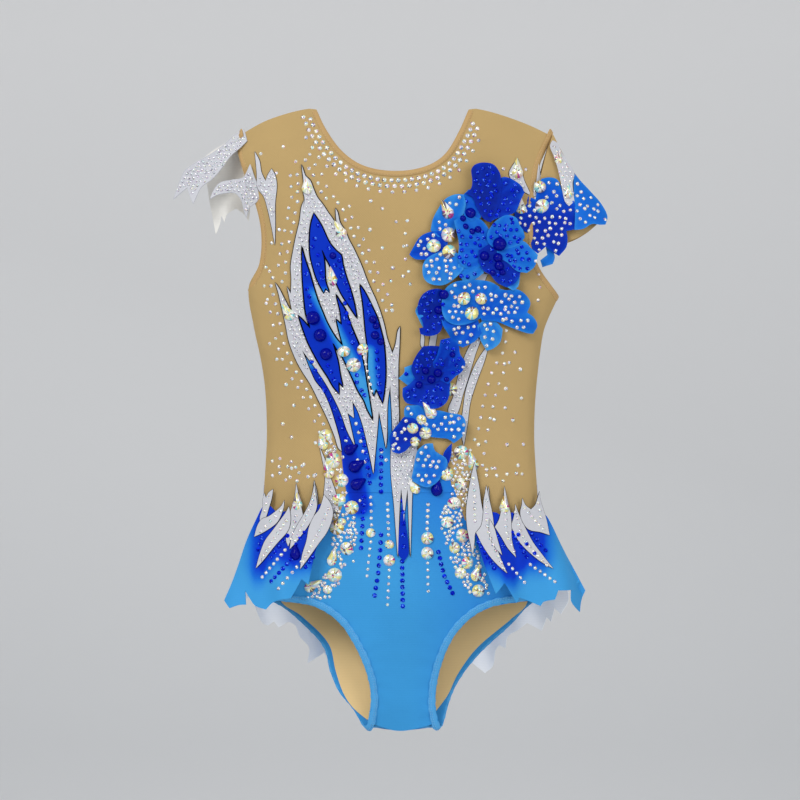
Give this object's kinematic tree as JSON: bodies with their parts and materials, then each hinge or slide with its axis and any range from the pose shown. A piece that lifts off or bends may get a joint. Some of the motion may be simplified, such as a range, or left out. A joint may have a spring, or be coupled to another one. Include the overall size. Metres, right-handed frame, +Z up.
{
  "type": "gymnastics leotard",
  "caption": "Child's rhythmic gymnastics leotard with mesh bodice, blue brief, ragged skirts, two cap sleeves, flame and flower applique and sewn stones, hung closed.",
  "frame": {"origin": "on the hanging line: centre line of the garment, midway between front and back, at the top of the shoulders beside the neck", "axes": "+Z up, the front faces -Y, +X to the right seen from the front; millimetres in the source"},
  "size_m": [0.405, 0.122, 0.5861],
  "materials": {
    "nude_mesh": "sheer matt power mesh",
    "nude_lining": "matt stretch lining",
    "nude_binding": "folded stretch binding",
    "sky_stretch": "satin stretch jersey, shaded blue",
    "leg_elastic": "folded stretch binding over elastic",
    "label": "woven label, blank",
    "white_fabric": "white stretch fabric, crystal set",
    "royal_print": "dyed stretch fabric",
    "royal_petal": "doubled printed chiffon petals",
    "azure_petal": "doubled printed chiffon petals",
    "crystal_ab": "foiled cut glass, rainbow coated",
    "sapphire_glass": "foiled blue glass"
  },
  "bodies": {
    "root": {"front_bodice": "nude_mesh", "back_bodice": "nude_mesh", "front_brief": "sky_stretch", "back_brief": "sky_stretch", "brief_lining": "nude_lining", "crotch_gusset": "nude_lining", "neck_binding": "nude_binding", "armhole_binding_left": "nude_binding", "armhole_binding_right": "nude_binding", "leg_elastic_left": "leg_elastic", "leg_elastic_right": "leg_elastic", "shoulder_seam_left": "nude_binding", "shoulder_seam_right": "nude_binding", "side_seam_left": "nude_binding", "side_seam_right": "nude_binding", "crotch_seam": "sky_stretch", "care_label": "label", "flame_ground": "white_fabric", "flame_tongue_top": "royal_print", "flame_tongue_inner": "royal_print", "flame_tongue_middle": "royal_print", "flame_tongue_outer": "royal_print", "flame_tongue_right": "royal_print", "flame_tongue_low": "royal_print", "centre_strip": "white_fabric", "centre_panel": "sky_stretch", "centre_motif": "white_fabric", "centre_wedge": "royal_print", "lightning": "white_fabric", "stem_left": "white_fabric", "stem_right": "white_fabric", "flower_top": "royal_petal", "flower_upper": "royal_petal", "petals_pale": "azure_petal", "flower_middle": "azure_petal", "bud": "royal_petal", "flower_lower": "royal_petal", "flower_bottom": "azure_petal", "leaf": "azure_petal", "stone_flame_a": "crystal_ab", "stone_flame_b": "crystal_ab", "stone_column_left": "crystal_ab", "stone_column_right": "crystal_ab", "stone_centre": "crystal_ab", "stone_flower": "crystal_ab", "stone_petals": "crystal_ab", "stone_lower": "crystal_ab", "cabochon_upper": "sapphire_glass"},
    "skirt_front_left": {"skirt_front_left": "sky_stretch", "hip_flame_left": "white_fabric"},
    "skirt_front_right": {"skirt_front_right": "sky_stretch", "hip_flame_right": "white_fabric"},
    "skirt_back": {"skirt_back": "sky_stretch"},
    "sleeve_left": {"sleeve_left_feather_top": "white_fabric", "sleeve_left_feather_low": "white_fabric", "sleeve_left_back": "white_fabric"},
    "sleeve_right": {"sleeve_right_cap": "nude_mesh", "sleeve_right_back": "nude_mesh", "sleeve_petal_inner": "royal_petal", "sleeve_petal_outer": "azure_petal"}
  },
  "joints": [
    {"name": "skirt_front_left_lift", "type": "hinge", "parent": "root", "child": "skirt_front_left", "pos_m": [-0.0969, -0.0203, -0.35], "axis": [-0.9634, 0.2681, 0], "range_deg": [0, 70]},
    {"name": "skirt_front_right_lift", "type": "hinge", "parent": "root", "child": "skirt_front_right", "pos_m": [0.1005, -0.01965, -0.35], "axis": [-0.9576, -0.2882, 0], "range_deg": [0, 70]},
    {"name": "skirt_back_lift", "type": "hinge", "parent": "root", "child": "skirt_back", "pos_m": [0.0005, 0.03, -0.35], "axis": [1, 0, 0], "range_deg": [0, 70]},
    {"name": "sleeve_left_lift", "type": "hinge", "parent": "root", "child": "sleeve_left", "pos_m": [-0.15, 0, -0.022], "axis": [0, 1, 0], "range_deg": [0, 35]},
    {"name": "sleeve_right_lift", "type": "hinge", "parent": "root", "child": "sleeve_right", "pos_m": [0.141, 0, -0.027], "axis": [0, -1, 0], "range_deg": [0, 35]}
  ]
}
